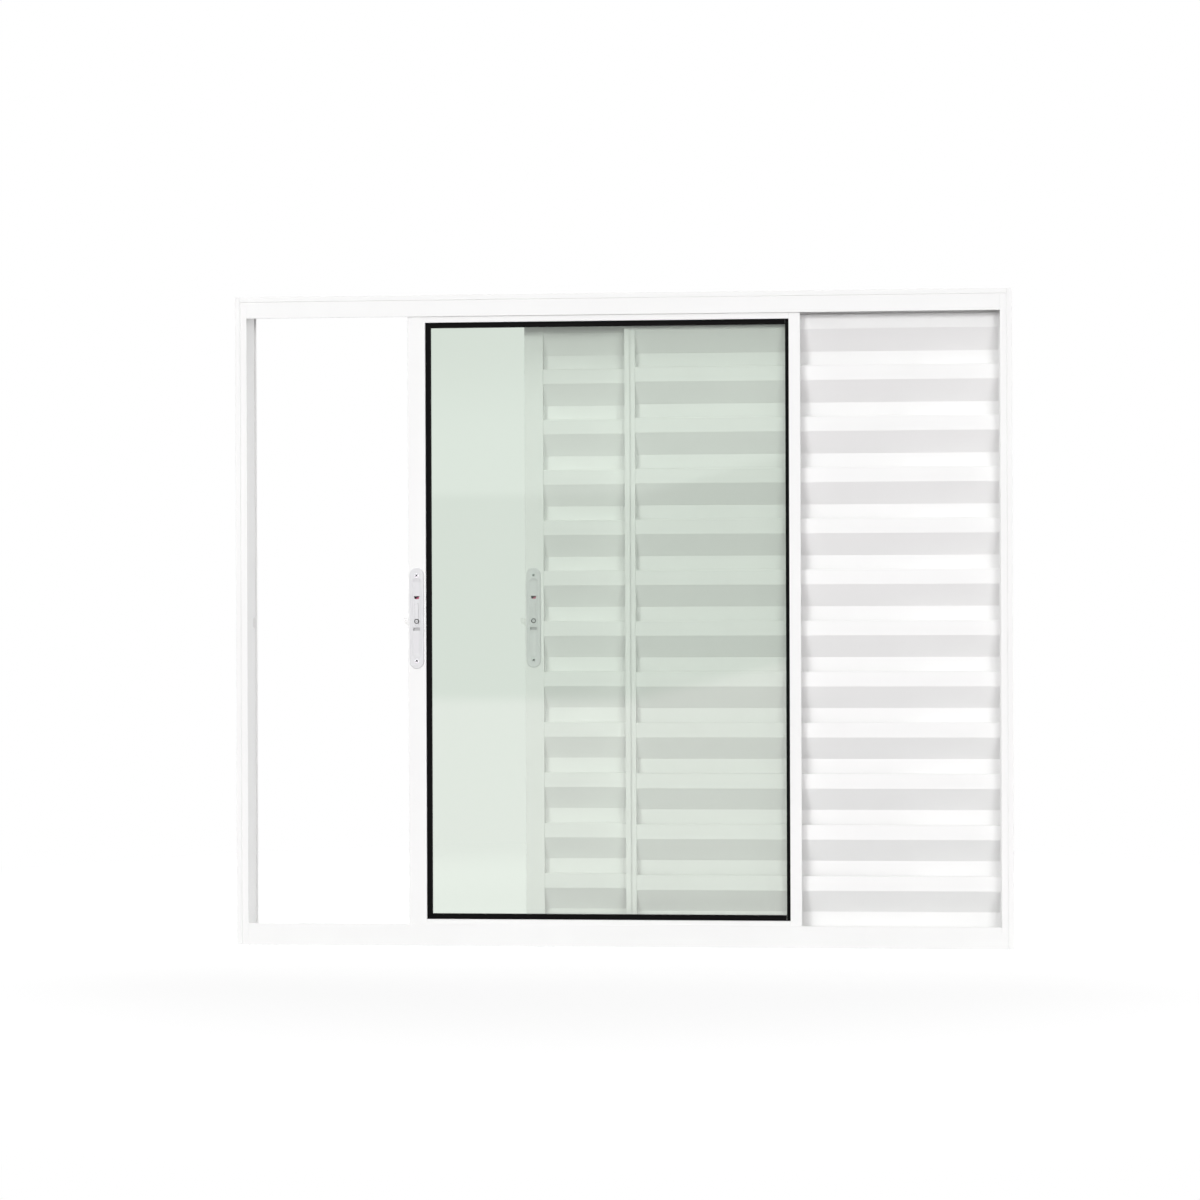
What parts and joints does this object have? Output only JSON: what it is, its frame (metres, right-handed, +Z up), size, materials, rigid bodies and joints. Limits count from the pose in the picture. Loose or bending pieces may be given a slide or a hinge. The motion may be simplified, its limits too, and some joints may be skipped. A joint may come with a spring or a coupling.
{
  "type": "louvred sliding window",
  "caption": "Sliding window of white painted aluminium with a glass sash, a fixed louvred leaf and a sliding louvred leaf in one three-track frame.",
  "frame": {"origin": "centre of the underside of the sill", "axes": "+X to the right as seen from the room, +Y to the outside, +Z up"},
  "size_m": [1.19, 0.074, 1],
  "materials": {
    "white_paint": "smooth white powder coat on aluminium",
    "latch_grey": "pale grey coat on a cast latch",
    "black_gasket": "matt black glazing rubber",
    "grey_nylon": "moulded nylon wheels",
    "clear_glass": "clear float glass"
  },
  "bodies": {
    "root": {"fixed_bottom_rail": "white_paint", "fixed_end_channel": "white_paint", "fixed_meeting_stile": "white_paint", "fixed_slat_01": "white_paint", "fixed_slat_02": "white_paint", "fixed_slat_03": "white_paint", "fixed_slat_04": "white_paint", "fixed_slat_05": "white_paint", "fixed_slat_06": "white_paint", "fixed_slat_07": "white_paint", "fixed_slat_08": "white_paint", "fixed_slat_09": "white_paint", "fixed_slat_10": "white_paint", "fixed_slat_11": "white_paint", "fixed_slat_12": "white_paint", "fixed_top_rail": "white_paint", "head": "white_paint", "left_jamb": "white_paint", "left_jamb_cover": "white_paint", "louvre_bottom_rail": "white_paint", "louvre_latch_plate": "latch_grey", "louvre_latch_slide": "latch_grey", "louvre_latch_stile": "white_paint", "louvre_latch_tongue": "latch_grey", "louvre_meeting_stile": "white_paint", "louvre_top_rail": "white_paint", "pane": "clear_glass", "pane_gasket": "black_gasket", "right_jamb": "white_paint", "rollers": "grey_nylon", "sash_bottom_rail": "white_paint", "sash_latch_plate": "latch_grey", "sash_latch_slide": "latch_grey", "sash_latch_stile": "white_paint", "sash_latch_tongue": "latch_grey", "sash_meeting_stile": "white_paint", "sash_top_rail": "white_paint", "sill": "white_paint", "sliding_slat_01": "white_paint", "sliding_slat_02": "white_paint", "sliding_slat_03": "white_paint", "sliding_slat_04": "white_paint", "sliding_slat_05": "white_paint", "sliding_slat_06": "white_paint", "sliding_slat_07": "white_paint", "sliding_slat_08": "white_paint", "sliding_slat_09": "white_paint", "sliding_slat_10": "white_paint", "sliding_slat_11": "white_paint", "sliding_slat_12": "white_paint"}
  },
  "joints": []
}
